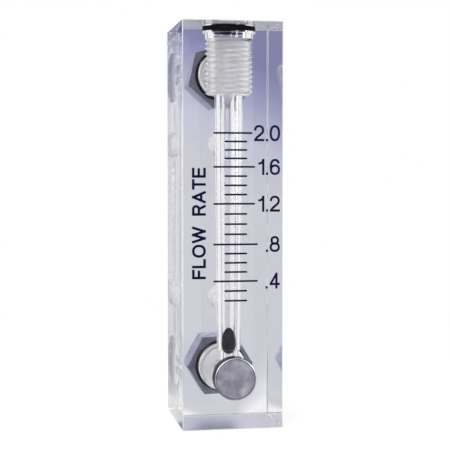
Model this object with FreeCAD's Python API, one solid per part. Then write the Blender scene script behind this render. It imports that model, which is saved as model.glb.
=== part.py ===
import FreeCAD, Part
import math
import os

# Acrylic block rotameter, in millimetres. +Z is up, the scale faces -Y and the
# ports face +Y. The origin is the middle of the block's base.

# Clear block
block_width = 25.4
block_depth = 28.6
block_height = 101.6
block_bevel = 0.6            # polished bevel round every outer edge

# Ports in the rear face, the outlet's height measured from the top
inlet_height = 13.2
outlet_drop = 12.2
port_depth = 7.0
gallery_radius = 2.6         # drilled way from a port to the bore's axis

# One straight thread size serves the top plug and both adapters
thread_radius = 6.0
thread_play = 0.05           # radial room between a male thread and its hole
thread_lead = 0.9            # chamfer on the first turn of a male thread
seat_play = 0.03             # room between two faces that are screwed together

# Tapered metering bore, nearer to the scale than to the ports. The float rests on the
# shoulder at its foot, with its nose in the orifice.
bore_forward = 5.0           # from the middle of the block's depth to the bore's axis
orifice_radius = 2.4
seat_height = 19.1           # shoulder above the base
bore_low_radius = 3.0
bore_high_radius = 3.6
chamber_sump = 6.0           # from the outlet's axis down to where the bore opens out

# Float
float_radius = 2.85
float_crown = 3.85           # from the widest ring to the top
float_play = 0.05            # room between the float and the shoulder's edge at rest

# Top plug, with an O-ring under its rim and a pointed rod that stops the float
plug_foot_rise = 3.1         # from the outlet's axis up to the plug's threaded body
plug_rim_radius = 6.6
plug_rim_thickness = 0.6
plug_rim_bevel = 0.15
plug_groove_height = 2.1
stop_radius = 1.5
stop_half_angle = 27.0
stop_reach = 3.5             # how far its tip stands into the bore
slot_length = 8.6            # closed driver slot in the plug's head
slot_width = 1.6
slot_depth = 1.6

# O-rings, one size for the top plug and both adapters
seal_section = 1.9
seal_outer_radius = 6.65
seal_play = 0.05

# Hexagonal pipe adapters
hex_across_flats = 15.3
hex_length = 9.0
hex_crown_angle = 30.0       # bevel that rounds the corners of the outer end
hex_crown_inset = 0.5        # from the flats in to where that bevel starts
stub_length = 6.4
stub_neck_length = 2.2
pipe_thread_radius = 4.35
pipe_thread_depth = 8.8
pipe_mouth_bevel = 0.8
inlet_hex_turn = 1.4         # where the hexagons came to rest, anticlockwise from the front
outlet_hex_turn = 18.3

# Round plug in the front face, on the inlet's axis
front_head_radius = 5.25
front_head_height = 3.7
front_head_bevel = 0.45
front_rim_width = 0.45       # narrow raised rim round the turned face
front_rim_step = 0.12
front_thread_radius = 3.75
front_thread_length = 6.6
front_hole_depth = 7.6
front_seal_section = 1.2
front_seal_outer_radius = 4.85

# Tapped holes for mounting, blind, in the rear face and centred between the ports
mount_spacing = 40.0
mount_hole_radius = 2.6
mount_hole_depth = 9.5
mount_mouth_bevel = 0.7

# Printed scale: reading, share of the scale's height and right-hand end of its line
scale_marks = (
    (2.0, 1.0, 4.8),
    (1.6, 0.799, 5.5),
    (1.2, 0.579, 5.5),
    (0.8, 0.337, 6.2),
    (0.4, 0.117, 6.2),
    (0.2, 0.0, None),        # the lowest line is a short one
)
scale_step = 0.1             # reading from one line to the next
lowest_line_rise = 11.5      # above the widest ring of the resting float
highest_line_drop = 6.1      # below the tip of the float stop
long_line_start = -4.95
short_line_start = -2.15
short_line_end = 3.5
line_thickness = 0.45
ink_thickness = 0.06

# Values that follow from the ones above
outlet_height = block_height - outlet_drop
chamber_floor = outlet_height - chamber_sump
stop_tip_height = chamber_floor - stop_reach
front_face = -block_depth / 2
rear_face = block_depth / 2
hole_radius = thread_radius + thread_play
plug_foot = outlet_height + plug_foot_rise
groove_top = block_height - plug_rim_thickness
groove_foot = groove_top - plug_groove_height
counterbore_radius = seal_outer_radius + seal_play
seal_neck_radius = seal_outer_radius - seal_section - seal_play
port_counterbore_depth = seal_section + seal_play
front_counterbore_radius = front_seal_outer_radius + seal_play
front_counterbore_depth = front_seal_section + seal_play
front_neck_radius = front_seal_outer_radius - front_seal_section - seal_play

UP = FreeCAD.Vector(0, 0, 1)
BACK = FreeCAD.Vector(0, 1, 0)


def point(radius, height):
    return FreeCAD.Vector(radius, 0, height)


def turned(corners):
    """Solid of revolution about Z from (radius, height) corners."""
    outline = [point(*corner) for corner in corners]
    face = Part.Face(Part.makePolygon(outline + outline[:1]))
    return face.revolve(FreeCAD.Vector(), UP, 360)


def on_bore_axis(shape):
    """Move a solid made about Z to the bore's own upright axis."""
    shape = shape.copy()
    shape.translate(-BACK * bore_forward)
    return shape


def facing_back(shape, height, depth):
    """Turn a solid that stands along Z to lie along Y, from the given depth."""
    shape = shape.copy()
    shape.rotate(FreeCAD.Vector(), FreeCAD.Vector(1, 0, 0), -90)
    shape.translate(FreeCAD.Vector(0, depth, height))
    return shape


def facing_front(shape, height, depth):
    """Turn a solid that stands along Z to lie along -Y, from the given depth."""
    shape = shape.copy()
    shape.rotate(FreeCAD.Vector(), FreeCAD.Vector(1, 0, 0), 90)
    shape.translate(FreeCAD.Vector(0, depth, height))
    return shape


def drill(radius, start, length, height):
    """Cylinder along +Y for a hole at x = 0."""
    return Part.makeCylinder(radius, length, FreeCAD.Vector(0, start, height), BACK)


def ring(outer_radius, section):
    """Seal squeezed in its recess, so its section is a square with wide corner cuts."""
    half = section / 2
    flat = half * math.tan(math.radians(22.5))
    middle = outer_radius - half
    corners = [(half, -flat), (half, flat), (flat, half), (-flat, half),
               (-half, flat), (-half, -flat), (-flat, -half), (flat, -half)]
    return turned([(middle + across, up) for across, up in corners])


def hexagon(across_flats, length, turn):
    corner = across_flats / 2 / math.cos(math.radians(30))
    corners = []
    for side in range(7):
        angle = math.radians(60 * side - turn)
        corners.append(FreeCAD.Vector(corner * math.cos(angle), corner * math.sin(angle), 0))
    return Part.Face(Part.makePolygon(corners)).extrude(UP * length)


def float_rest_height():
    """Height of the float's widest ring when its round nose lies on the shoulder's edge."""
    return seat_height + math.sqrt((float_radius + float_play) ** 2 - orifice_radius ** 2)


def metering_way():
    """Orifice, shoulder, tapered bore, outlet chamber and top counterbore in one turned core."""
    return on_bore_axis(turned([
        (0, inlet_height),
        (orifice_radius, inlet_height),
        (orifice_radius, seat_height),
        (bore_low_radius, seat_height),
        (bore_high_radius, chamber_floor),
        (hole_radius, chamber_floor),
        (hole_radius, groove_foot),
        (counterbore_radius, groove_foot),
        (counterbore_radius, block_height),
        (0, block_height),
    ]))


def port_way(height):
    """Threaded port from the rear face, its seal recess and the gallery to the bore's axis."""
    thread = drill(hole_radius, rear_face - port_depth, port_depth, height)
    recess = drill(counterbore_radius, rear_face - port_counterbore_depth,
                   port_counterbore_depth, height)
    gallery = drill(gallery_radius, -bore_forward, bore_forward + rear_face, height)
    return thread.fuse([recess, gallery])


def front_way():
    """Hole for the front plug, running on to the bore's axis."""
    thread = drill(front_thread_radius + thread_play, front_face, front_hole_depth, inlet_height)
    recess = drill(front_counterbore_radius, front_face, front_counterbore_depth, inlet_height)
    gallery = drill(gallery_radius, front_face, -bore_forward - front_face, inlet_height)
    return thread.fuse([recess, gallery])


def mounting_hole(height):
    """Blind tapped hole with a bevelled mouth."""
    hole = turned([
        (0, -mount_hole_depth),
        (mount_hole_radius, -mount_hole_depth),
        (mount_hole_radius, -mount_mouth_bevel),
        (mount_hole_radius + mount_mouth_bevel, 0),
        (0, 0),
    ])
    return facing_back(hole, height, rear_face)


def meter_block():
    corner = FreeCAD.Vector(-block_width / 2, front_face, 0)
    block = Part.makeBox(block_width, block_depth, block_height, corner)
    block = block.makeChamfer(block_bevel, block.Edges)
    ways = [metering_way(), port_way(inlet_height), port_way(outlet_height), front_way()]
    for side in (-1, 1):
        ways.append(mounting_hole((inlet_height + outlet_height + side * mount_spacing) / 2))
    return block.cut(ways).removeSplitter()


def top_plug():
    tip_length = stop_radius / math.tan(math.radians(stop_half_angle))
    body = turned([
        (0, stop_tip_height),
        (stop_radius, stop_tip_height + tip_length),
        (stop_radius, plug_foot),
        (thread_radius - thread_lead, plug_foot),
        (thread_radius, plug_foot + thread_lead),
        (thread_radius, groove_foot),
        (seal_neck_radius, groove_foot),
        (seal_neck_radius, groove_top),
        (plug_rim_radius, groove_top),
        (plug_rim_radius, block_height - plug_rim_bevel),
        (plug_rim_radius - plug_rim_bevel, block_height),
        (0, block_height),
    ])
    corner = FreeCAD.Vector(-slot_length / 2, -slot_width / 2, block_height - slot_depth)
    return on_bore_axis(body.cut(Part.makeBox(slot_length, slot_width, slot_depth, corner)))


def top_plug_o_ring():
    seal = ring(seal_outer_radius, seal_section)
    seal.translate(UP * (groove_foot + plug_groove_height / 2))
    return on_bore_axis(seal)


def adapter(height, turn):
    """Hexagon behind the block, neck for the seal and a threaded stub inside the port."""
    body = hexagon(hex_across_flats, hex_length, turn)
    corner_radius = hex_across_flats / 2 / math.cos(math.radians(30))
    flat_radius = hex_across_flats / 2 - hex_crown_inset
    crown_drop = (corner_radius - flat_radius) * math.tan(math.radians(hex_crown_angle))
    crown = turned([
        (0, 0),
        (corner_radius, 0),
        (corner_radius, hex_length - crown_drop),
        (flat_radius, hex_length),
        (0, hex_length),
    ])
    stub = turned([
        (0, -stub_length),
        (thread_radius - thread_lead, -stub_length),
        (thread_radius, thread_lead - stub_length),
        (thread_radius, -stub_neck_length),
        (seal_neck_radius, -stub_neck_length),
        (seal_neck_radius, 0),
        (0, 0),
    ])
    pipe_foot = hex_length - pipe_thread_depth
    bore = turned([
        (0, -stub_length),
        (gallery_radius, -stub_length),
        (gallery_radius, pipe_foot),
        (pipe_thread_radius, pipe_foot),
        (pipe_thread_radius, hex_length - pipe_mouth_bevel),
        (pipe_thread_radius + pipe_mouth_bevel, hex_length),
        (0, hex_length),
    ])
    body = body.common(crown).fuse(stub).cut(bore).removeSplitter()
    return facing_back(body, height, rear_face + seat_play)


def port_o_ring(height):
    seal = ring(seal_outer_radius, seal_section)
    return facing_back(seal, height, rear_face - port_counterbore_depth / 2)


def front_plug():
    """Round head with a fine rim round its turned face, neck for the seal, threaded shank."""
    face_radius = front_head_radius - front_head_bevel - front_rim_width
    body = turned([
        (0, -front_thread_length),
        (front_thread_radius - thread_lead, -front_thread_length),
        (front_thread_radius, thread_lead - front_thread_length),
        (front_thread_radius, -front_counterbore_depth),
        (front_neck_radius, -front_counterbore_depth),
        (front_neck_radius, 0),
        (front_head_radius, 0),
        (front_head_radius, front_head_height - front_head_bevel),
        (front_head_radius - front_head_bevel, front_head_height),
        (face_radius, front_head_height),
        (face_radius, front_head_height - front_rim_step),
        (0, front_head_height - front_rim_step),
    ])
    return facing_front(body, inlet_height, front_face - seat_play)


def front_plug_o_ring():
    seal = ring(front_seal_outer_radius, front_seal_section)
    return facing_back(seal, inlet_height, front_face + front_counterbore_depth / 2)


def metering_float():
    """Egg shape: a round nose below the widest ring and a longer crown above it."""
    nose = Part.ArcOfCircle(Part.Circle(point(0, 0), -BACK, float_radius), 0, math.pi / 2)
    top, side = point(0, float_crown), point(float_radius, 0)
    crown = Part.ArcOfEllipse(Part.Ellipse(top, side, point(0, 0)), 0, math.pi / 2)
    axis = Part.LineSegment(point(0, -float_radius), top)
    outline = Part.Wire([curve.toShape() for curve in (nose, crown, axis)])
    egg = Part.Face(outline).revolve(FreeCAD.Vector(), UP, 360)
    egg.translate(UP * float_rest_height())
    return on_bore_axis(egg)


def scale_line(share, start, end):
    """One printed line, its height given as a share of the whole scale's."""
    foot = float_rest_height() + lowest_line_rise
    top = stop_tip_height - highest_line_drop
    height = foot + share * (top - foot) - line_thickness / 2
    corner = FreeCAD.Vector(start, front_face - ink_thickness, height)
    return Part.makeBox(end - start, ink_thickness, line_thickness, corner)


def scale_lines():
    """A long line at each numbered reading and short ones evenly spaced between them."""
    lines = []
    for (reading, share, end), (next_reading, next_share, _) in zip(scale_marks, scale_marks[1:]):
        lines.append(scale_line(share, long_line_start, end))
        steps = round((reading - next_reading) / scale_step)
        for step in range(1, steps):
            between = share + (next_share - share) * step / steps
            lines.append(scale_line(between, short_line_start, short_line_end))
    lines.append(scale_line(scale_marks[-1][1], short_line_start, short_line_end))
    return Part.makeCompound(lines)


pieces = {
    "meter_block": meter_block(),
    "top_plug": top_plug(),
    "top_plug_o_ring": top_plug_o_ring(),
    "inlet_adapter": adapter(inlet_height, inlet_hex_turn),
    "outlet_adapter": adapter(outlet_height, outlet_hex_turn),
    "inlet_o_ring": port_o_ring(inlet_height),
    "outlet_o_ring": port_o_ring(outlet_height),
    "front_plug": front_plug(),
    "front_plug_o_ring": front_plug_o_ring(),
    "metering_float": metering_float(),
    "scale_lines": scale_lines(),
}

os.makedirs("parts", exist_ok=True)
for name, shape in pieces.items():
    shape.exportStep(f"parts/{name}.step")
    print(name, len(shape.Solids), "solids", round(shape.Volume, 2), "mm3", shape.isValid())
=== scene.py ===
import math

import bmesh
import bpy
from mathutils import Matrix, Vector


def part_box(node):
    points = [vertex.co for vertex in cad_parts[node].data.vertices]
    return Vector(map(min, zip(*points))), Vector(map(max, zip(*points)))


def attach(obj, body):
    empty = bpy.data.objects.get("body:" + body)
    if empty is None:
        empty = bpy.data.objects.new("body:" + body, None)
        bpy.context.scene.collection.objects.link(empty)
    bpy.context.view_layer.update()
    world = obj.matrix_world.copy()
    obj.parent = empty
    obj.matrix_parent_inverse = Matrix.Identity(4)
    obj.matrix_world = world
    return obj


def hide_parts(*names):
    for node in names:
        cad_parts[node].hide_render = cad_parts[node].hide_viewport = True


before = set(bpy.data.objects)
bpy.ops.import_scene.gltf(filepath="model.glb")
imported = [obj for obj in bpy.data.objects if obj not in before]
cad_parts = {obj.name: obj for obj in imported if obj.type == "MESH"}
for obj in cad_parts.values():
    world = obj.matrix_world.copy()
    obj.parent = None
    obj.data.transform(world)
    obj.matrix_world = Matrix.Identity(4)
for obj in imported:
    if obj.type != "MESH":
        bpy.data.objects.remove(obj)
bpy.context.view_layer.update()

mm = 0.001
fineRound, plainRound, smallRound = 128, 96, 64      # faces round a turned piece
scene = bpy.context.scene
scene.render.film_transparent = False
scene.view_settings.view_transform = "Standard"
scene.cycles.max_bounces = 24
scene.cycles.transmission_bounces = 24
scene.cycles.glossy_bounces = 8
scene.cycles.caustics_reflective = True
scene.cycles.caustics_refractive = True


def middleOf(node):
    # centre of a CAD node's box in mm
    low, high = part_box(node)
    return (low + high) / 2 / mm


blockLow, blockHigh = (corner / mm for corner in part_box("meter_block"))
boreAxis = middleOf("metering_float").y
portHeights = {end: middleOf(end + "_o_ring").z for end in ("inlet", "outlet")}


def keep(mesh, name):
    obj = bpy.data.objects.new(name, mesh)
    scene.collection.objects.link(obj)
    return obj


def meshFrom(name, verts, faces, material):
    mesh = bpy.data.meshes.new(name)
    mesh.from_pydata(verts, [], faces)
    mesh.materials.append(material)
    mesh.update()
    return mesh


def turned(name, outline, material, segments, finishes=None):
    # outline: (radius, height) in mm from the lower pole to the upper one
    # finishes: {number of a stretch of the outline: its own material}
    rings, verts, faces = [], [], []
    for radius, height in outline:
        if radius < 1e-6:
            rings.append([len(verts)])
            verts.append((0, 0, height * mm))
            continue
        rings.append(list(range(len(verts), len(verts) + segments)))
        for step in range(segments):
            angle = 2 * math.pi * step / segments
            verts.append((radius * mm * math.cos(angle), radius * mm * math.sin(angle), height * mm))
    for low, high in zip(rings, rings[1:]):
        for step in range(segments):
            a, b = low[step % len(low)], low[(step + 1) % len(low)]
            c, d = high[(step + 1) % len(high)], high[step % len(high)]
            face = [a, b, c, d]
            faces.append([v for i, v in enumerate(face) if v not in face[:i]])
    mesh = meshFrom(name, verts, faces, material)
    for stretch, finish in (finishes or {}).items():
        mesh.materials.append(finish)
        for face in mesh.polygons[stretch * segments:(stretch + 1) * segments]:
            face.material_index = len(mesh.materials) - 1
    return keep(mesh, name)


def arc(centre, radius, startAngle, endAngle, steps):
    # points of a rounded corner, for turned outlines
    points = []
    for step in range(steps + 1):
        angle = math.radians(startAngle + (endAngle - startAngle) * step / steps)
        points.append((centre[0] + radius * math.cos(angle), centre[1] + radius * math.sin(angle)))
    return points


def boxed(name, low, high, material):
    verts = [(x * mm, y * mm, z * mm) for x in (low[0], high[0]) for y in (low[1], high[1])
             for z in (low[2], high[2])]
    faces = [(0, 1, 3, 2), (4, 6, 7, 5), (0, 4, 5, 1), (2, 3, 7, 6), (0, 2, 6, 4), (1, 5, 7, 3)]
    return keep(meshFrom(name, verts, faces, material), name)


def roundEdges(obj, width, slot=-1):
    # slot: number of the material that the rounded edges get, or -1 for that of their neighbours
    bm = bmesh.new()
    bm.from_mesh(obj.data)
    leastAngle = math.radians(30)
    edges = [e for e in bm.edges if len(e.link_faces) == 2 and e.calc_face_angle() > leastAngle]
    bmesh.ops.bevel(bm, geom=edges, offset=width * mm, segments=2, profile=0.5, affect="EDGES",
                    material=slot)
    bm.to_mesh(obj.data)
    bm.free()
    return obj


def settled(obj):
    # the object's evaluated mesh takes the place of its own, and its modifiers go
    graph = bpy.context.evaluated_depsgraph_get()
    mesh = bpy.data.meshes.new_from_object(obj.evaluated_get(graph))
    obj.modifiers.clear()
    obj.data = mesh
    return obj


def joinWith(obj, others, operation):
    for other in others:
        cut = obj.modifiers.new("cut", "BOOLEAN")
        cut.solver = "EXACT"
        cut.material_mode = "TRANSFER"
        cut.operation = operation
        cut.object = other
        settled(obj)
    for other in others:
        bpy.data.objects.remove(other)
    return obj


def place(obj, height, towards):
    # lays a piece that stands along Z so that it points to the rear (+1) or the front (-1)
    turn = Matrix.Rotation(math.radians(-90 * towards), 4, "X")
    face = blockHigh.y if towards > 0 else blockLow.y
    obj.data.transform(Matrix.Translation((0, face * mm, height * mm)) @ turn)
    return obj


def onBore(obj, height=0):
    # moves a piece made about Z to the metering bore's axis
    obj.data.transform(Matrix.Translation((0, boreAxis * mm, height * mm)))
    return obj


def smoothed(obj, angle=20):
    obj.data.shade_smooth()
    obj.data.set_sharp_from_angle(angle=math.radians(angle))
    return obj


def onBody(obj, body, slot, *nodes):
    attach(obj, body)
    if nodes:
        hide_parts(*nodes)
    return obj


def blankMaterial(name):
    material = bpy.data.materials.new(name)
    material.use_nodes = True
    nodes = material.node_tree.nodes
    return material, nodes, material.node_tree.links, nodes["Principled BSDF"]


def objectPattern(nodes, links, scale):
    coords = nodes.new("ShaderNodeTexCoord")
    mapping = nodes.new("ShaderNodeMapping")
    mapping.inputs["Scale"].default_value = scale
    links.new(coords.outputs["Object"], mapping.inputs["Vector"])
    return mapping.outputs["Vector"]


def addBump(nodes, links, shader, height, strength, distance):
    bump = nodes.new("ShaderNodeBump")
    bump.inputs["Strength"].default_value = strength
    bump.inputs["Distance"].default_value = distance * mm
    links.new(height, bump.inputs["Height"])
    links.new(bump.outputs["Normal"], shader.inputs["Normal"])


def clearAcrylic(name, roughness, clarity, ripple, tint=(0.97, 0.97, 0.985)):
    # clarity: the share that is clear, the rest is the tint: that of a frosted cut, and painted shade
    # on the top face
    # ripple: faint waviness of a polished face, or the tool marks of a drilled one
    material, nodes, links, shader = blankMaterial(name)
    shader.inputs["Base Color"].default_value = (*tint, 1)
    shader.inputs["Roughness"].default_value = roughness
    shader.inputs["IOR"].default_value = 1.49
    shader.inputs["Transmission Weight"].default_value = clarity
    noise = nodes.new("ShaderNodeTexNoise")
    noise.inputs["Scale"].default_value = ripple["scale"]
    noise.inputs["Detail"].default_value = 4
    links.new(objectPattern(nodes, links, ripple["stretch"]), noise.inputs["Vector"])
    addBump(nodes, links, shader, noise.outputs["Fac"], ripple["strength"], ripple["depth"])
    return material


def turnedSteel(name, colour, roughness, grooveScale, centreHeight):
    # fine concentric tool marks about the axis that the piece was turned on
    material, nodes, links, shader = blankMaterial(name)
    shader.inputs["Metallic"].default_value = 1
    coords = nodes.new("ShaderNodeTexCoord")
    mapping = nodes.new("ShaderNodeMapping")
    mapping.inputs["Location"].default_value = (0, 0, -centreHeight * mm)
    mapping.inputs["Scale"].default_value = (1, 0.02, 1)
    links.new(coords.outputs["Object"], mapping.inputs["Vector"])
    length = nodes.new("ShaderNodeVectorMath")
    length.operation = "LENGTH"
    links.new(mapping.outputs["Vector"], length.inputs[0])
    grooves = nodes.new("ShaderNodeTexNoise")
    grooves.noise_dimensions = "1D"
    grooves.inputs["Scale"].default_value = grooveScale
    grooves.inputs["Detail"].default_value = 3
    links.new(length.outputs["Value"], grooves.inputs["W"])
    blotches = nodes.new("ShaderNodeTexNoise")
    blotches.inputs["Scale"].default_value = 420
    blotches.inputs["Detail"].default_value = 5
    links.new(coords.outputs["Object"], blotches.inputs["Vector"])
    ramp = nodes.new("ShaderNodeValToRGB")
    ramp.color_ramp.elements[0].position = 0.35
    ramp.color_ramp.elements[1].position = 0.68
    ramp.color_ramp.elements[0].color = (*[c * 0.76 for c in colour], 1)
    ramp.color_ramp.elements[1].color = (*[min(1, c * 1.22) for c in colour], 1)
    links.new(blotches.outputs["Fac"], ramp.inputs["Fac"])
    links.new(ramp.outputs["Color"], shader.inputs["Base Color"])
    rough = nodes.new("ShaderNodeMapRange")
    rough.inputs["To Min"].default_value = roughness * 0.8
    rough.inputs["To Max"].default_value = roughness * 1.25
    links.new(blotches.outputs["Fac"], rough.inputs["Value"])
    links.new(rough.outputs["Result"], shader.inputs["Roughness"])
    addBump(nodes, links, shader, grooves.outputs["Fac"], 0.5, 0.02)
    return material


def plainFinish(name, colour, roughness, sheen, grainScale, grainDepth):
    material, nodes, links, shader = blankMaterial(name)
    shader.inputs["Base Color"].default_value = (*colour, 1)
    shader.inputs["Specular IOR Level"].default_value = sheen
    noise = nodes.new("ShaderNodeTexNoise")
    noise.inputs["Scale"].default_value = grainScale
    noise.inputs["Detail"].default_value = 4
    links.new(objectPattern(nodes, links, (1, 1, 1)), noise.inputs["Vector"])
    rough = nodes.new("ShaderNodeMapRange")
    rough.inputs["To Min"].default_value = roughness * 0.8
    rough.inputs["To Max"].default_value = roughness * 1.2
    links.new(noise.outputs["Fac"], rough.inputs["Value"])
    links.new(rough.outputs["Result"], shader.inputs["Roughness"])
    addBump(nodes, links, shader, noise.outputs["Fac"], 0.3, grainDepth)
    return material


polished = clearAcrylic("polishedAcrylic", 0.0, 1.0,
                        {"scale": 60, "stretch": (1, 1, 0.4), "strength": 0.03, "depth": 0.2})
sidePolish = clearAcrylic("sideAcrylic", 0.06, 1.0,
                          {"scale": 60, "stretch": (1, 1, 0.4), "strength": 0.05, "depth": 0.2})
buffing = {"scale": 900, "stretch": (1, 1, 1), "strength": 0.1, "depth": 0.02}
buffed = clearAcrylic("buffedAcrylic", 0.4, 0.8, buffing)
endPolish = clearAcrylic("endAcrylic", 0.2, 1.0, buffing)
# the top face's dark violet-grey tint, almost half of its look, is painted shade that makes the top end
# darker
topPolishShade = clearAcrylic("topAcrylicShade", 0.25, 0.52, buffing, (0.22, 0.22, 0.29))
reamed = clearAcrylic("reamedAcrylic", 0.0, 1.0,
                      {"scale": 300, "stretch": (1, 1, 0.05), "strength": 0.005, "depth": 0.02})
bored = clearAcrylic("boredAcrylic", 0.12, 1.0,
                     {"scale": 300, "stretch": (1, 1, 0.05), "strength": 0.003, "depth": 0.02})
tapped = clearAcrylic("tappedAcrylic", 0.2, 0.7,
                      {"scale": 2500, "stretch": (1, 1, 1), "strength": 0.03, "depth": 0.03})
faced = clearAcrylic("facedAcrylic", 0.5, 0.25,
                     {"scale": 1800, "stretch": (1, 1, 1), "strength": 0.2, "depth": 0.03})
# the blue-violet tint of both steels is painted light: it stands in for the violet cast of the light
# around the meter
fittingSteel = turnedSteel("fittingSteel", (0.42, 0.425, 0.54), 0.62, 5200, 0)
plugSteel = turnedSteel("plugSteel", (0.83, 0.80, 0.94), 0.44, 7000, portHeights["inlet"])
# painted shade: a near-black steel for the front plug's head wall and rim groove, where the real
# polished steel only reflects darkness
paintedShadeEdge = turnedSteel("paintedShadeEdge", (0.05, 0.05, 0.08), 0.5, 7000, portHeights["inlet"])
sealRubber = plainFinish("sealRubber", (0.004, 0.004, 0.007), 0.42, 0.04, 2600, 0.01)
floatBlack = plainFinish("floatBlack", (0.006, 0.004, 0.014), 0.14, 0.06, 900, 0.002)
scaleInk = plainFinish("scaleInk", (0.003, 0.002, 0.024), 0.5, 0.05, 6000, 0.004)
print("materials made")


def threadTree():
    # a rod with a helical ridge: a grid is wrapped round Z, row by row along the helix
    tree = bpy.data.node_groups.new("threadedRod", "GeometryNodeTree")
    face = tree.interface
    face.new_socket("Geometry", in_out="INPUT", socket_type="NodeSocketGeometry")
    face.new_socket("Geometry", in_out="OUTPUT", socket_type="NodeSocketGeometry")
    for label in ("Start", "End", "Pitch", "Crest", "Root", "Lead"):
        face.new_socket(label, in_out="INPUT", socket_type="NodeSocketFloat")
    for label in ("Segments", "Rows"):
        face.new_socket(label, in_out="INPUT", socket_type="NodeSocketInt")
    face.new_socket("Material", in_out="INPUT", socket_type="NodeSocketMaterial")
    nodes, links = tree.nodes, tree.links
    given = nodes.new("NodeGroupInput").outputs
    result = nodes.new("NodeGroupOutput")

    def maths(operation, *values):
        node = nodes.new("ShaderNodeMath")
        node.operation = operation
        for socket, value in zip(node.inputs, values):
            if isinstance(value, (int, float)):
                socket.default_value = value
            else:
                links.new(value, socket)
        return node.outputs[0]

    grid = nodes.new("GeometryNodeMeshGrid")
    grid.inputs["Size X"].default_value = 1
    grid.inputs["Size Y"].default_value = 1
    links.new(maths("ADD", given["Segments"], 1), grid.inputs["Vertices X"])
    links.new(given["Rows"], grid.inputs["Vertices Y"])
    split = nodes.new("ShaderNodeSeparateXYZ")
    links.new(nodes.new("GeometryNodeInputPosition").outputs[0], split.inputs[0])
    turn = maths("ADD", split.outputs["X"], 0.5)
    row = maths("MULTIPLY", maths("ADD", split.outputs["Y"], 0.5),
                maths("SUBTRACT", given["Rows"], 1))
    climb = maths("ADD", maths("SUBTRACT", maths("DIVIDE", row, rowsPerTurn), 1.5), turn)
    free = maths("MULTIPLY_ADD", climb, given["Pitch"], given["Start"])
    height = maths("MINIMUM", maths("MAXIMUM", free, given["Start"]), given["End"])
    along = maths("DIVIDE", maths("SUBTRACT", height, given["Start"]), given["Pitch"])
    phase = maths("FRACT", maths("SUBTRACT", along, turn))
    peak = maths("SUBTRACT", 1, maths("ABSOLUTE", maths("SUBTRACT", maths("MULTIPLY", phase, 2), 1)))
    flank = maths("DIVIDE", maths("SUBTRACT", peak, 0.125), 0.75)
    flank = maths("MINIMUM", maths("MAXIMUM", flank, 0), 1)
    depth = maths("SUBTRACT", given["Crest"], given["Root"])
    radius = maths("MULTIPLY_ADD", flank, depth, given["Root"])
    nearEnd = maths("MINIMUM", maths("SUBTRACT", height, given["Start"]),
                    maths("SUBTRACT", given["End"], height))
    leadIn = maths("ADD", maths("SUBTRACT", given["Crest"], given["Lead"]), nearEnd)
    radius = maths("MINIMUM", radius, leadIn)
    lastRow = maths("SUBTRACT", given["Rows"], 1.5)
    inner = maths("MULTIPLY", maths("GREATER_THAN", row, 0.5), maths("LESS_THAN", row, lastRow))
    radius = maths("MULTIPLY", radius, inner)
    angle = maths("MULTIPLY", turn, 2 * math.pi)
    spot = nodes.new("ShaderNodeCombineXYZ")
    links.new(maths("MULTIPLY", radius, maths("COSINE", angle)), spot.inputs["X"])
    links.new(maths("MULTIPLY", radius, maths("SINE", angle)), spot.inputs["Y"])
    links.new(height, spot.inputs["Z"])
    move = nodes.new("GeometryNodeSetPosition")
    links.new(grid.outputs["Mesh"], move.inputs["Geometry"])
    links.new(spot.outputs[0], move.inputs["Position"])
    merge = nodes.new("GeometryNodeMergeByDistance")
    merge.inputs["Distance"].default_value = 1e-7
    real = nodes.new("GeometryNodeRealizeInstances")
    paint = nodes.new("GeometryNodeSetMaterial")
    links.new(move.outputs[0], merge.inputs["Geometry"])
    links.new(merge.outputs[0], real.inputs[0])
    links.new(real.outputs[0], paint.inputs["Geometry"])
    links.new(given["Material"], paint.inputs["Material"])
    links.new(paint.outputs[0], result.inputs[0])
    return tree


def ribbonTree():
    # polylines in the XY plane become flat ribbons of ink
    tree = bpy.data.node_groups.new("inkRibbon", "GeometryNodeTree")
    face = tree.interface
    face.new_socket("Geometry", in_out="INPUT", socket_type="NodeSocketGeometry")
    face.new_socket("Geometry", in_out="OUTPUT", socket_type="NodeSocketGeometry")
    face.new_socket("Width", in_out="INPUT", socket_type="NodeSocketFloat")
    face.new_socket("Material", in_out="INPUT", socket_type="NodeSocketMaterial")
    nodes, links = tree.nodes, tree.links
    given = nodes.new("NodeGroupInput").outputs
    result = nodes.new("NodeGroupOutput")
    curve = nodes.new("GeometryNodeMeshToCurve")
    upright = nodes.new("GeometryNodeSetCurveNormal")
    upright.mode = "Z_UP"
    across = nodes.new("GeometryNodeCurvePrimitiveLine")
    for end, share in (("Start", -0.5), ("End", 0.5)):
        half = nodes.new("ShaderNodeMath")
        half.operation = "MULTIPLY"
        half.inputs[1].default_value = share
        spot = nodes.new("ShaderNodeCombineXYZ")
        links.new(given["Width"], half.inputs[0])
        links.new(half.outputs[0], spot.inputs["X"])
        links.new(spot.outputs[0], across.inputs[end])
    ribbon = nodes.new("GeometryNodeCurveToMesh")
    real = nodes.new("GeometryNodeRealizeInstances")
    paint = nodes.new("GeometryNodeSetMaterial")
    links.new(given["Geometry"], curve.inputs["Mesh"])
    links.new(curve.outputs[0], upright.inputs["Curve"])
    links.new(upright.outputs[0], ribbon.inputs["Curve"])
    links.new(across.outputs["Curve"], ribbon.inputs["Profile Curve"])
    links.new(ribbon.outputs[0], real.inputs[0])
    links.new(real.outputs[0], paint.inputs["Geometry"])
    links.new(given["Material"], paint.inputs["Material"])
    links.new(paint.outputs[0], result.inputs[0])
    return tree


def shaped(obj, tree, values):
    # runs a node tree on a piece, with its inputs set by identifier, and keeps the plain mesh
    modifier = obj.modifiers.new(tree.name, "NODES")
    modifier.node_group = tree
    for item in tree.interface.items_tree:
        if item.in_out == "INPUT" and item.name in values:
            modifier[item.identifier] = values[item.name]
    return settled(obj)


rowsPerTurn = 8
threadedRod = threadTree()
inkRibbon = ribbonTree()


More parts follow.
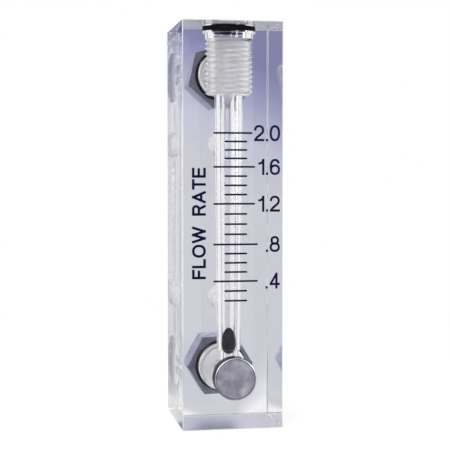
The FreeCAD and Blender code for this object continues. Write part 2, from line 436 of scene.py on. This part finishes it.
def threaded(name, start, end, pitch, crest, root, material, lead=0.0, segments=plainRound):
    # a rod with a thread on it from start to end; lead: how far its crest falls at either end
    rows = math.ceil(((end - start) / pitch + 1.5) * rowsPerTurn) + 3
    return shaped(keep(bpy.data.meshes.new(name), name), threadedRod, {
        "Start": start * mm, "End": end * mm, "Pitch": pitch * mm, "Crest": crest * mm,
        "Root": root * mm, "Lead": lead * mm, "Segments": segments, "Rows": rows,
        "Material": material})


# proud: how far a cutter stands out of the face it opens, and proudThread the same for a thread
# overlap and bite: how far a piece runs into the next one that it is joined or cut with
# sink: how far the root of a thread lies inside the hole it is cut into
cutSizes = {"proud": 1.0, "proudThread": 0.5, "overlap": 0.2, "bite": 0.1, "sink": 0.05}
blockSizes = {"bevel": 0.24, "port": 7.0, "gallery": 2.6, "orifice": 2.4, "seat": 19.1,
              "boreLow": 3.0, "boreHigh": 3.6, "sump": 6.0, "firstTurn": 0.35, "portTurn": 0.6}
threadSizes = {"crest": 6.0, "root": 5.32, "pitch": 1.25, "play": 0.06, "lead": 0.9}
sealSizes = {"section": 1.9, "radius": 6.65, "play": 0.05, "frontSection": 1.2, "frontRadius": 4.85,
             "grip": 0.012, "corner": 0.47}
mountSizes = {"spacing": 40.0, "depth": 9.5, "drillTip": 1.2, "root": 2.6, "crest": 3.175,
              "pitch": 1.27, "mouth": 0.7, "mouthProud": 0.5, "firstTurn": 1.2, "lastTurn": 0.3}
plugSizes = {"rim": 6.6, "rimThickness": 0.6, "rimBevel": 0.15, "groove": 2.1, "footRise": 3.1,
             "collar": 5.97, "collarHeight": 1.4, "coreInset": 0.3, "rod": 1.5, "rodAngle": 27.0,
             "slotLength": 8.6, "slotWidth": 1.6, "slotDepth": 1.6}
frontSizes = {"head": 5.25, "headHeight": 3.7, "headBevel": 0.26, "footBevel": 0.15,
              "rimWidth": 0.12, "rimStep": 0.1, "rimSlope": 0.06, "thread": 3.75, "root": 3.25,
              "pitch": 1.0, "lead": 0.9, "length": 6.6, "hole": 7.6, "neckInside": 0.3,
              "segments": 80}
grooveTop = blockHigh.z - plugSizes["rimThickness"]
grooveFoot = grooveTop - plugSizes["groove"]
collarFoot = grooveFoot - plugSizes["collarHeight"]


def mainWay():
    s, c, top = blockSizes, cutSizes, blockHigh.z + cutSizes["proud"]
    floor = portHeights["outlet"] - s["sump"]
    bore = turned("bore", [
        (0, portHeights["inlet"]), (s["orifice"], portHeights["inlet"]), (s["orifice"], s["seat"]),
        (s["boreLow"], s["seat"]), (s["boreHigh"], floor + c["overlap"]), (0, floor + c["overlap"]),
    ], bored, fineRound)
    root = threadSizes["root"] + threadSizes["play"]
    chamber = turned("chamber", [
        (0, floor), (root, floor), (root, collarFoot + c["overlap"]), (0, collarFoot + c["overlap"]),
    ], tapped, plainRound)
    crest = threadSizes["crest"] + threadSizes["play"]
    thread = threaded("chamberThread", floor + s["firstTurn"], collarFoot + c["bite"],
                      threadSizes["pitch"], crest, root - c["sink"], tapped)
    collar = turned("collarBore", [
        (0, collarFoot), (crest, collarFoot), (crest, grooveFoot + c["bite"]),
        (0, grooveFoot + c["bite"]),
    ], reamed, fineRound)
    wide = sealSizes["radius"] + sealSizes["play"]
    mouth = turned("mouth", [(0, grooveFoot), (wide, grooveFoot), (wide, top), (0, top)],
                   reamed, fineRound)
    return [onBore(piece) for piece in (bore, chamber, thread, collar, mouth)]


def portWay(height, reach):
    # reach: how far the gallery runs in from the rear face
    s, c, root = blockSizes, cutSizes, threadSizes["root"] + threadSizes["play"]
    hole = turned("port", [(0, -s["port"]), (root, -s["port"]), (root, c["proud"]), (0, c["proud"])],
                  tapped, plainRound, {0: faced})
    thread = threaded("portThread", s["portTurn"] - s["port"], c["proudThread"], threadSizes["pitch"],
                      threadSizes["crest"] + threadSizes["play"], root - c["sink"], tapped)
    wide = sealSizes["radius"] + sealSizes["play"]
    depth = sealSizes["section"] + sealSizes["play"]
    recess = turned("recess", [(0, -depth), (wide, -depth), (wide, c["proud"]), (0, c["proud"])],
                    reamed, fineRound)
    mouth = c["overlap"] - s["port"]
    gallery = turned("gallery", [(0, -reach), (s["gallery"], -reach), (s["gallery"], mouth),
                                 (0, mouth)], reamed, smallRound)
    return [place(piece, height, 1) for piece in (hole, thread, recess, gallery)]


def frontWay():
    f, c, root = frontSizes, cutSizes, frontSizes["root"] + threadSizes["play"]
    hole = turned("frontHole", [(0, -f["hole"]), (root, -f["hole"]), (root, c["proud"]),
                                (0, c["proud"])], tapped, f["segments"])
    thread = threaded("frontThread", -f["length"] - f["pitch"], c["proudThread"], f["pitch"],
                      f["thread"] + threadSizes["play"], f["root"], tapped, 0, f["segments"])
    wide = sealSizes["frontRadius"] + sealSizes["play"]
    depth = sealSizes["frontSection"] + sealSizes["play"]
    recess = turned("frontRecess", [(0, -depth), (wide, -depth), (wide, c["proud"]),
                                    (0, c["proud"])], reamed, plainRound)
    return [place(piece, portHeights["inlet"], -1) for piece in (hole, thread, recess)]


def mountingHole(height):
    m = mountSizes
    hole = turned("mountHole", [
        (0, -m["depth"] - m["drillTip"]), (m["root"], -m["depth"]), (m["root"], -m["mouth"]),
        (m["root"] + m["mouth"] + m["mouthProud"], m["mouthProud"]), (0, m["mouthProud"]),
    ], faced, smallRound)
    thread = threaded("mountThread", m["firstTurn"] - m["depth"], m["lastTurn"], m["pitch"],
                      m["crest"], m["root"] - cutSizes["sink"], faced, 0, smallRound)
    return [place(piece, height, 1) for piece in (hole, thread)]


def meterBlock():
    block = boxed("meterBlock", blockLow, blockHigh, polished)
    slots = {"front": 0, "side": 1, "foot": 2, "top": 3, "edges": 4}
    for material in (sidePolish, endPolish, topPolishShade, buffed):
        block.data.materials.append(material)
    # the top face's material is also tinted dark: painted shade
    for face in block.data.polygons:      # the ends are less polished than the sides
        x, _, z = (round(part) for part in face.normal)
        face.material_index = slots["top" if z > 0 else "foot" if z < 0 else "side" if x else "front"]
    roundEdges(block, blockSizes["bevel"], slots["edges"])
    # the lower gallery runs as far as the front plug's hole
    through = blockHigh.y - blockLow.y - frontSizes["hole"] + cutSizes["overlap"]
    ways = mainWay() + portWay(portHeights["inlet"], through)
    ways += portWay(portHeights["outlet"], blockHigh.y - boreAxis) + frontWay()
    for side in (-1, 1):
        ways += mountingHole((sum(portHeights.values()) + side * mountSizes["spacing"]) / 2)
    joinWith(block, ways, "DIFFERENCE")
    return onBody(smoothed(block), "meter", "clear_acrylic", "meter_block")


block = meterBlock()
print("block made,", len(block.data.polygons), "faces")


def topPlug():
    p, t, c = plugSizes, threadSizes, cutSizes
    neck = sealSizes["radius"] - sealSizes["section"] - sealSizes["play"]
    top, tip = blockHigh.z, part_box("top_plug")[0].z / mm
    tipEnd = tip + p["rod"] / math.tan(math.radians(p["rodAngle"]))
    foot = portHeights["outlet"] + p["footRise"]
    inside = t["root"] - p["coreInset"]
    clearStretches = range(5, 11)      # from the collar's wall to the rim's bevel
    core = turned("topPlug", [
        (0, tip), (p["rod"], tipEnd), (p["rod"], foot + c["bite"]), (inside, foot + c["bite"]),
        (inside, collarFoot), (p["collar"], collarFoot), (p["collar"], grooveFoot),
        (neck, grooveFoot), (neck, grooveTop), (p["rim"], grooveTop),
        (p["rim"], top - p["rimBevel"]), (p["rim"] - p["rimBevel"], top), (0, top),
    ], tapped, fineRound, {stretch: reamed for stretch in clearStretches})
    thread = threaded("plugThread", foot, collarFoot + c["bite"], t["pitch"], t["crest"], t["root"],
                      tapped, t["lead"])
    slot = boxed("slot", (-p["slotLength"] / 2, -p["slotWidth"] / 2, top - p["slotDepth"]),
                 (p["slotLength"] / 2, p["slotWidth"] / 2, top + c["proud"]), tapped)
    joinWith(core, [thread], "UNION")
    joinWith(core, [slot], "DIFFERENCE")
    return onBody(smoothed(onBore(core)), "meter", "clear_plug", "top_plug")


plug = topPlug()
print("top plug made,", len(plug.data.polygons), "faces")


def seal(name, outer, section):
    # a squeezed ring: flat sides that grip the wall and the neck, with round corners between
    g = sealSizes
    wide = section / 2 + g["play"] + g["grip"]
    tall, corner = section / 2, g["corner"] * section / 2
    outline = []
    for number, (side, up) in enumerate(((1, -1), (1, 1), (-1, 1), (-1, -1))):
        centre = (outer - section / 2 + side * (wide - corner), up * (tall - corner))
        outline += arc(centre, corner, 90 * number - 90, 90 * number, 7)
    verts, faces, segments, size = [], [], fineRound, len(outline)
    for i in range(segments):
        angle, here, ahead = 2 * math.pi * i / segments, i * size, (i + 1) % segments * size
        for j, (radius, z) in enumerate(outline):
            verts.append((radius * mm * math.cos(angle), radius * mm * math.sin(angle), z * mm))
            faces.append((here + j, ahead + j, ahead + (j + 1) % size, here + (j + 1) % size))
    return keep(meshFrom(name, verts, faces, sealRubber), name)


def seals():
    s = sealSizes
    made = onBore(seal("topSeal", s["radius"], s["section"]), grooveFoot + plugSizes["groove"] / 2)
    onBody(smoothed(made), "meter", "seal_rubber", "top_plug_o_ring")
    for end, height in portHeights.items():
        made = seal(end + "Seal", s["radius"], s["section"])
        pressed = s["section"] / 2 + s["play"] + s["grip"]      # its front side grips the recess floor
        made.data.transform(Matrix.Translation((0, 0, -pressed * mm)))
        onBody(smoothed(place(made, height, 1)), "meter", "seal_rubber", end + "_o_ring")
    made = seal("frontSeal", s["frontRadius"], s["frontSection"])
    made.data.transform(Matrix.Translation((0, 0, -(s["frontSection"] + s["play"]) / 2 * mm)))
    onBody(smoothed(place(made, portHeights["inlet"], -1)), "meter", "seal_rubber", "front_plug_o_ring")


seals()
print("seals made")


# crownFall: how far the crown's cone falls within the millimetre past the hexagon's corners
adapterSizes = {"flats": 15.3, "length": 9.0, "crown": 30.0, "crownInset": 0.5, "crownFall": 0.577,
                "stub": 6.4, "neck": 2.2, "edge": 0.15, "seat": 0.03, "inside": 0.5,
                "pipeRoot": 4.35, "pipeCrest": 4.95, "pipePitch": 0.94, "pipeDepth": 8.8,
                "pipeTurn": 0.4, "mouth": 0.8, "turns": {"inlet": 1.4, "outlet": 18.3}}


def adapter(name, height, node):
    a, t, c = adapterSizes, threadSizes, cutSizes
    corner = a["flats"] / 2 / math.cos(math.radians(30))
    verts, low, high = [], [], []
    for side in range(6):
        angle = math.radians(60 * side - a["turns"][name])
        for z, ring in ((0, low), (a["length"], high)):
            ring.append(len(verts))
            verts.append((corner * mm * math.cos(angle), corner * mm * math.sin(angle), z * mm))
    faces = [low[::-1], high]
    faces += [[low[i], low[(i + 1) % 6], high[(i + 1) % 6], high[i]] for i in range(6)]
    body = keep(meshFrom(name + "Adapter", verts, faces, fittingSteel), name + "Adapter")
    roundEdges(body, a["edge"])
    flat = a["flats"] / 2 - a["crownInset"]
    drop = (corner - flat) * math.tan(math.radians(a["crown"]))
    wide = corner + c["proud"]
    crown = turned("crown", [
        (0, -c["proud"]), (wide, -c["proud"]), (wide, a["length"] - drop - a["crownFall"]),
        (flat, a["length"]), (0, a["length"] + c["proud"]),
    ], fittingSteel, fineRound)
    joinWith(body, [crown], "INTERSECT")
    neck = sealSizes["radius"] - sealSizes["section"] - sealSizes["play"]
    stemFoot = -a["neck"] - c["overlap"]
    stem = turned("stem", [(0, stemFoot), (neck, stemFoot), (neck, a["inside"]), (0, a["inside"])],
                  fittingSteel, plainRound)
    thread = threaded("stub", -a["stub"], -a["neck"], t["pitch"], t["crest"], t["root"],
                      fittingSteel, t["lead"])
    joinWith(body, [stem, thread], "UNION")
    foot = a["length"] - a["pipeDepth"]
    way, start, end = blockSizes["gallery"], -a["stub"] - c["proud"], foot + a["inside"]
    through = turned("through", [(0, start), (way, start), (way, end), (0, end)],
                     fittingSteel, smallRound)
    out = a["length"] + c["proud"]
    pipe = turned("pipe", [
        (0, foot), (a["pipeRoot"], foot), (a["pipeRoot"], a["length"] - a["mouth"]),
        (a["pipeRoot"] + a["mouth"] + c["proud"], out), (0, out),
    ], fittingSteel, plainRound)
    pipeThread = threaded("pipeThread", foot + a["pipeTurn"], a["length"] + c["overlap"],
                          a["pipePitch"], a["pipeCrest"], a["pipeRoot"] - c["sink"], fittingSteel)
    joinWith(body, [through, pipe, pipeThread], "DIFFERENCE")
    body.data.transform(Matrix.Translation((0, 0, a["seat"] * mm)))
    return onBody(smoothed(place(body, height, 1), 12), "meter", "fitting_steel", node)


for end in ("inlet", "outlet"):
    fitting = adapter(end, portHeights[end], end + "_adapter")
    print(end, "adapter made,", len(fitting.data.polygons), "faces")


def frontPlug():
    f = frontSizes
    neck = sealSizes["frontRadius"] - sealSizes["frontSection"] - sealSizes["play"]
    neckFoot = -(sealSizes["frontSection"] + sealSizes["play"])
    face = f["head"] - f["headBevel"] - f["rimWidth"]
    step = f["headHeight"] - f["rimStep"]
    inside, low, slope = neckFoot - f["neckInside"], f["footBevel"], f["rimSlope"]
    bevelSpot = (f["head"] - f["headBevel"], f["headHeight"] - f["headBevel"])
    outline = [(0, inside), (neck, inside), (neck, 0)]
    outline += arc((f["head"] - low, low), low, -90, 0, 4)
    outline += arc(bevelSpot, f["headBevel"], 0, 90, 8)
    outline += [(face + slope, f["headHeight"]), (face, f["headHeight"] - slope),
                (face - slope, step), (0, step)]
    # the side wall with the near part of each bevel, and the groove inside the rim, get the near-black
    # steel as painted shade
    sideWall, rimGroove = range(3, 11), range(17, 19)
    edges = {stretch: paintedShadeEdge for stretch in (*sideWall, *rimGroove)}
    head = turned("frontPlug", outline, plugSteel, fineRound, edges)
    thread = threaded("shank", -f["length"], neckFoot, f["pitch"], f["thread"], f["root"], plugSteel,
                      f["lead"], f["segments"])
    joinWith(head, [thread], "UNION")
    head.data.transform(Matrix.Translation((0, 0, adapterSizes["seat"] * mm)))
    return onBody(smoothed(place(head, portHeights["inlet"], -1)), "meter", "plug_steel", "front_plug")


frontPlug()
print("front plug made")


def meteringFloat():
    low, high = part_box("metering_float")
    radius = (high.x - low.x) / 2 / mm
    nose, tip = low.z / mm, high.z / mm
    widest = nose + radius
    outline, steps = arc((0, widest), radius, -90, 0, 24), 32
    for step in range(1, steps + 1):
        angle = math.pi / 2 * step / steps
        outline.append((radius * math.cos(angle), widest + (tip - widest) * math.sin(angle)))
    outline[0], outline[-1] = (0, nose), (0, tip)
    egg = onBore(turned("meteringFloat", outline, floatBlack, plainRound))
    return onBody(smoothed(egg, 60), "float", "float_black", "metering_float")


meteringFloat()
print("float made")


def bow(centre, size, start, end, steps=18):
    # a stroke round part of an oval, which a power below 1 makes squarer
    points, power = [], 0.86
    for step in range(steps + 1):
        angle = math.radians(start + (end - start) * step / steps)
        across, up = math.cos(angle), math.sin(angle)
        points.append((centre[0] + size[0] * math.copysign(abs(across) ** power, across),
                       centre[1] + size[1] * math.copysign(abs(up) ** power, up)))
    return points


def loop(centre, size):
    return bow(centre, size, 0, 360, 36)


# width of each sign and the middle lines of its strokes, as shares of its height
signs = {
    "0": (0.61, [loop((0.305, 0.5), (0.305, 0.5))]),
    "1": (0.36, [[(0.36, 0), (0.36, 1)], [(0.08, 0.745), (0.19, 0.765), (0.28, 0.83), (0.335, 0.94)]]),
    "2": (0.60, [bow((0.3, 0.715), (0.285, 0.285), 172, -38) +
                 [(0.35, 0.36), (0.12, 0.17), (0.02, 0.03)], [(0.03, 0), (0.6, 0)]]),
    "4": (0.62, [[(0.45, 0), (0.45, 1)], [(0.43, 0.96), (0.03, 0.29)], [(0.03, 0.25), (0.62, 0.25)]]),
    "6": (0.60, [bow((0.31, 0.5), (0.31, 0.5), 38, 185), loop((0.305, 0.3), (0.295, 0.3))]),
    "8": (0.60, [loop((0.3, 0.765), (0.235, 0.235)), loop((0.3, 0.27), (0.3, 0.27))]),
    ".": (0.0, [[(0, 0), (0, 0.01)]]),
    "F": (0.62, [[(0, 0), (0, 1)], [(0.05, 1), (0.62, 1)], [(0.05, 0.5), (0.54, 0.5)]]),
    "L": (0.58, [[(0, 0), (0, 1)], [(0.05, 0), (0.58, 0)]]),
    "O": (0.92, [loop((0.46, 0.5), (0.46, 0.5))]),
    "W": (1.24, [[(0, 1), (0.31, 0)], [(0.31, 0), (0.62, 1)], [(0.62, 1), (0.93, 0)],
                 [(0.93, 0), (1.24, 1)]]),
    "R": (0.74, [[(0, 0), (0, 1)], [(0.05, 1), (0.4, 1)] + bow((0.45, 0.75), (0.26, 0.25), 90, -90) +
                 [(0.4, 0.5), (0.05, 0.5)], [(0.48, 0.47), (0.72, 0)]]),
    "A": (0.84, [[(0, 0), (0.42, 1)], [(0.42, 1), (0.84, 0)], [(0.15, 0.3), (0.69, 0.3)]]),
    "T": (0.70, [[(0, 1), (0.7, 1)], [(0.35, 0.95), (0.35, 0)]]),
    "E": (0.64, [[(0, 0), (0, 1)], [(0.05, 1), (0.64, 1)], [(0.05, 0.51), (0.6, 0.51)],
                 [(0.05, 0), (0.64, 0)]]),
    " ": (0.48, []),
}
numeralSizes = {"height": 4.0, "stroke": 0.57, "gap": 0.39, "right": 11.87, "lift": 0.02, "line": 0.45,
                "shares": {"2.0": 1.0, "1.6": 0.799, "1.2": 0.579, ".8": 0.337, ".4": 0.117}}
captionSizes = {"words": "FLOW RATE", "height": 3.45, "stroke": 0.64, "left": -10.3, "start": 37.7,
                "length": 27.5}
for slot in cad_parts["scale_lines"].material_slots:
    slot.material = scaleInk


def length(words, tall, stroke, gap):
    return sum(signs[sign][0] * tall + stroke for sign in words) + gap * (len(words) - 1)


def written(name, words, height, stroke, gap):
    # signs drawn with one pen, in mm from their lower left corner, each stroke a layer above the last
    tall, pen, number, layer = height - stroke, stroke / 2, 0, 0.001
    verts, edges = [], []
    for sign in words:
        width, strokes = signs[sign]
        for points in strokes:
            path = [Vector((pen + x * tall, stroke / 2 + y * tall)) for x, y in points]
            closed = (path[0] - path[-1]).length < 1e-6
            if closed:
                path.pop()
            else:
                path[0] += (path[0] - path[1]).normalized() * stroke / 2
                path[-1] += (path[-1] - path[-2]).normalized() * stroke / 2
            first = len(verts)
            verts += [(p.x * mm, p.y * mm, number * layer * mm) for p in path]
            edges += [(first + i, first + i + 1) for i in range(len(path) - 1)]
            edges += [(len(verts) - 1, first)] if closed else []
            number += 1
        pen += width * tall + stroke + gap
    mesh = bpy.data.meshes.new(name)
    mesh.from_pydata(verts, edges, [])
    text = shaped(keep(mesh, name), inkRibbon, {"Width": stroke * mm, "Material": scaleInk})
    if text.data.polygons[0].normal.z < 0:
        text.data.flip_normals()
    return text


def onFace(obj, turn, x, z):
    # flat print in XY is turned and stood on the front face at (x, z)
    face = Matrix.Translation((x * mm, (blockLow.y - numeralSizes["lift"]) * mm, z * mm))
    stand = Matrix.Rotation(math.radians(90), 4, "X")
    obj.data.transform(face @ stand @ Matrix.Rotation(math.radians(turn), 4, "Z"))
    return onBody(obj, "meter", "scale_ink")


def numerals():
    n = numeralSizes
    bottom, top = (corner.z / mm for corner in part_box("scale_lines"))
    for words, share in n["shares"].items():
        middle = bottom + n["line"] / 2 + share * (top - bottom - n["line"])
        text = written("numeral" + words.replace(".", "_"), words, n["height"], n["stroke"], n["gap"])
        left = n["right"] - length(words, n["height"] - n["stroke"], n["stroke"], n["gap"])
        onFace(text, 0, left, middle - n["height"] / 2)


def caption():
    c = captionSizes
    spare = c["length"] - length(c["words"], c["height"] - c["stroke"], c["stroke"], 0)
    text = written("flowCaption", c["words"], c["height"], c["stroke"], spare / (len(c["words"]) - 1))
    onFace(text, 90, c["left"] + c["height"], c["start"])


numerals()
caption()
print("scale printed")


studio = {"ambient": 0.55, "white": (1.0, 1.0, 1.0), "front": (0.07, 0.07, 0.09),
          "sides": (0.95, 0.95, 0.96), "floorBehind": (0.64, 0.65, 0.69),
          "floorFront": (0.24, 0.24, 0.28), "floorShade": 0.25, "shadeReach": (0.06, 0.25),
          # parts of the unit direction between which each zone fades in or out
          "behindFrom": (0.90, 0.965), "frontFrom": (-0.05, -0.4),
          "stripFrom": (0.07, 0.11), "stripTo": (0.25, 0.30),
          # the backdrop's bands rise towards its middle, by this slope, and are level at dipFrom
          "dip": 0.57, "dipFrom": 0.2045,
          # elevation in degrees and the colour of the graded backdrop there
          "backdrop": ((-1, (0.63, 0.63, 0.68)), (1, (0.59, 0.60, 0.71)), (3, (0.385, 0.39, 0.57)),
                       (4, (0.30, 0.30, 0.51)), (5, (0.24, 0.24, 0.42)), (7, (0.24, 0.24, 0.42)),
                       (11, (0.50, 0.51, 0.58)), (28, (0.90, 0.90, 0.93))),
          # place and size in mm and power in watts of each lamp
          "lamps": {"keyLamp": ((-350, -420, 380), (300, 300), 3.2),
                    "fillLamp": ((420, -300, 200), (260, 360), 1.6),
                    "topLamp": ((0, 120, 520), (360, 300), 1.4)}}
cameraSizes = {"sensor": 36, "lens": 95.8, "near": 0.01, "far": 20, "spot": (-53.44, -305.79, 64.1),
               "yaw": 10.0, "pitch": -2.52}


def rayKinds(nodes, links):
    # camera: 1 for a ray straight from the camera
    # whole: 1 also for one that a gloss or clear surface sends on
    path = nodes.new("ShaderNodeLightPath")
    camera = whole = path.outputs["Is Camera Ray"]
    for name in ("Is Glossy Ray", "Is Transmission Ray"):
        either = nodes.new("ShaderNodeMath")
        either.operation = "MAXIMUM"
        links.new(whole, either.inputs[0])
        links.new(path.outputs[name], either.inputs[1])
        whole = either.outputs[0]
    return camera, whole


def mixed(nodes, links, share, first, second):
    # a mix of two colours, each a socket or plain values, by the value of a socket
    mix = nodes.new("ShaderNodeMix")
    mix.data_type = "RGBA"
    links.new(share, mix.inputs["Factor"])
    for socket, value in ((mix.inputs[6], first), (mix.inputs[7], second)):
        if isinstance(value, tuple):
            socket.default_value = (*value, 1)
        else:
            links.new(value, socket)
    return mix.outputs[2]


def ranged(nodes, links, value, fromMin, fromMax, toMin, toMax):
    node = nodes.new("ShaderNodeMapRange")
    for name, number in (("From Min", fromMin), ("From Max", fromMax),
                         ("To Min", toMin), ("To Max", toMax)):
        node.inputs[name].default_value = number
    links.new(value, node.inputs["Value"])
    return node.outputs["Result"]


def product(nodes, links, values):
    # the product of sockets, kept between 0 and 1
    result = values[0]
    for value in values[1:]:
        node = nodes.new("ShaderNodeMath")
        node.operation = "MULTIPLY"
        node.use_clamp = True
        links.new(result, node.inputs[0])
        links.new(value, node.inputs[1])
        result = node.outputs[0]
    return result


def around(nodes, links, split, rear, dark):
    # a bright studio all round, with the rear colour behind and a dark one in front for reflections,
    # which has a bright strip to the right of its middle for the acrylic's inner faces
    path = nodes.new("ShaderNodeLightPath").outputs
    across, heading = split.outputs["X"], split.outputs["Y"]
    strip = product(nodes, links, [ranged(nodes, links, across, *studio["stripFrom"], 0, 1),
                                   ranged(nodes, links, across, *studio["stripTo"], 1, 0),
                                   path["Transmission Depth"]])
    shaded = product(nodes, links, [ranged(nodes, links, heading, *studio["frontFrom"], 0, 1),
                                    path["Glossy Depth"], ranged(nodes, links, strip, 0, 1, 1, 0)])
    behind = ranged(nodes, links, heading, *studio["behindFrom"], 0, 1)
    return mixed(nodes, links, shaded, mixed(nodes, links, behind, studio["sides"], rear), dark)


def whiteWorld():
    # white straight behind the meter, and a soft graded backdrop for what glass and metal show
    world = bpy.data.worlds.new("studio")
    scene.world = world
    world.use_nodes = True
    nodes, links = world.node_tree.nodes, world.node_tree.links
    split = nodes.new("ShaderNodeSeparateXYZ")
    links.new(nodes.new("ShaderNodeTexCoord").outputs["Generated"], split.inputs[0])
    heights = [math.sin(math.radians(elevation)) for elevation, _ in studio["backdrop"]]
    ramp = nodes.new("ShaderNodeValToRGB")
    stops = ramp.color_ramp.elements
    for height, (_, colour) in zip(heights, studio["backdrop"]):
        share = (height - heights[0]) / (heights[-1] - heights[0])
        stop = stops[0] if share == 0 else stops[-1] if share == 1 else stops.new(share)
        stop.color = (*colour, 1)
    aside, dipped = nodes.new("ShaderNodeMath"), nodes.new("ShaderNodeMath")
    aside.operation, dipped.operation = "ABSOLUTE", "MULTIPLY_ADD"
    links.new(split.outputs["X"], aside.inputs[0])
    links.new(aside.outputs[0], dipped.inputs[0])
    dipped.inputs[1].default_value = studio["dip"]
    links.new(split.outputs["Z"], dipped.inputs[2])
    low, high = (height + studio["dip"] * studio["dipFrom"] for height in (heights[0], heights[-1]))
    links.new(ranged(nodes, links, dipped.outputs[0], low, high, 0, 1), ramp.inputs["Fac"])
    graded = around(nodes, links, split, ramp.outputs["Color"], studio["front"])
    camera, whole = rayKinds(nodes, links)
    seen = mixed(nodes, links, whole, (studio["ambient"],) * 3, graded)
    ground = nodes["Background"]
    links.new(mixed(nodes, links, camera, seen, studio["white"]), ground.inputs["Color"])


def paleFloor():
    # it keeps a soft shadow near the meter and is plain white further out
    material, nodes, links, shader = blankMaterial("paleFloor")
    shader.inputs["Base Color"].default_value = (0.9, 0.9, 0.9, 1)
    shader.inputs["Roughness"].default_value = 0.9
    camera, whole = rayKinds(nodes, links)
    spot = nodes.new("ShaderNodeTexCoord").outputs["Object"]
    reach = nodes.new("ShaderNodeVectorMath")
    reach.operation = "LENGTH"
    links.new(spot, reach.inputs[0])
    heading = nodes.new("ShaderNodeVectorMath")
    heading.operation = "NORMALIZE"
    links.new(spot, heading.inputs[0])
    split = nodes.new("ShaderNodeSeparateXYZ")
    links.new(heading.outputs[0], split.inputs[0])
    seen = around(nodes, links, split, studio["floorBehind"], studio["floorFront"])
    glow = nodes.new("ShaderNodeEmission")
    links.new(mixed(nodes, links, camera, seen, studio["white"]), glow.inputs["Color"])
    # minus the share of the lit floor, which alone shows the camera a shadow
    lost = ranged(nodes, links, reach.outputs["Value"], *studio["shadeReach"],
                  -studio["floorShade"], 0)
    share = nodes.new("ShaderNodeMath")
    share.operation = "MULTIPLY_ADD"
    for socket, value in zip(share.inputs, (camera, lost, whole)):
        links.new(value, socket)
    mix = nodes.new("ShaderNodeMixShader")
    links.new(share.outputs[0], mix.inputs["Fac"])
    links.new(shader.outputs[0], mix.inputs[1])
    links.new(glow.outputs[0], mix.inputs[2])
    links.new(mix.outputs[0], nodes["Material Output"].inputs["Surface"])
    boxed("floor", (-3000, -3000, -20), (3000, 3000, -0.02), material)


def softLamp(name, spot, size, power):
    lamp = bpy.data.lights.new(name, "AREA")
    lamp.shape = "RECTANGLE"
    lamp.size, lamp.size_y = size[0] * mm, size[1] * mm
    lamp.energy = power
    obj = bpy.data.objects.new(name, lamp)
    scene.collection.objects.link(obj)
    obj.location = Vector(spot) * mm
    aim = Vector((0, 0, 50)) * mm - obj.location
    obj.rotation_mode = "QUATERNION"
    obj.rotation_quaternion = aim.to_track_quat("-Z", "Y")


def standCamera():
    c = cameraSizes
    lens = bpy.data.cameras.new("camera")
    lens.sensor_width = c["sensor"]
    lens.lens = c["lens"]
    lens.clip_start, lens.clip_end = c["near"], c["far"]
    obj = bpy.data.objects.new("camera", lens)
    scene.collection.objects.link(obj)
    obj.location = Vector(c["spot"]) * mm
    yaw, pitch = math.radians(c["yaw"]), math.radians(c["pitch"])
    aim = Vector((math.sin(yaw) * math.cos(pitch), math.cos(yaw) * math.cos(pitch), math.sin(pitch)))
    obj.rotation_mode = "QUATERNION"
    obj.rotation_quaternion = aim.to_track_quat("-Z", "Y")
    scene.camera = obj


whiteWorld()
paleFloor()
for name, values in studio["lamps"].items():
    softLamp(name, *values)
standCamera()
print("studio set")
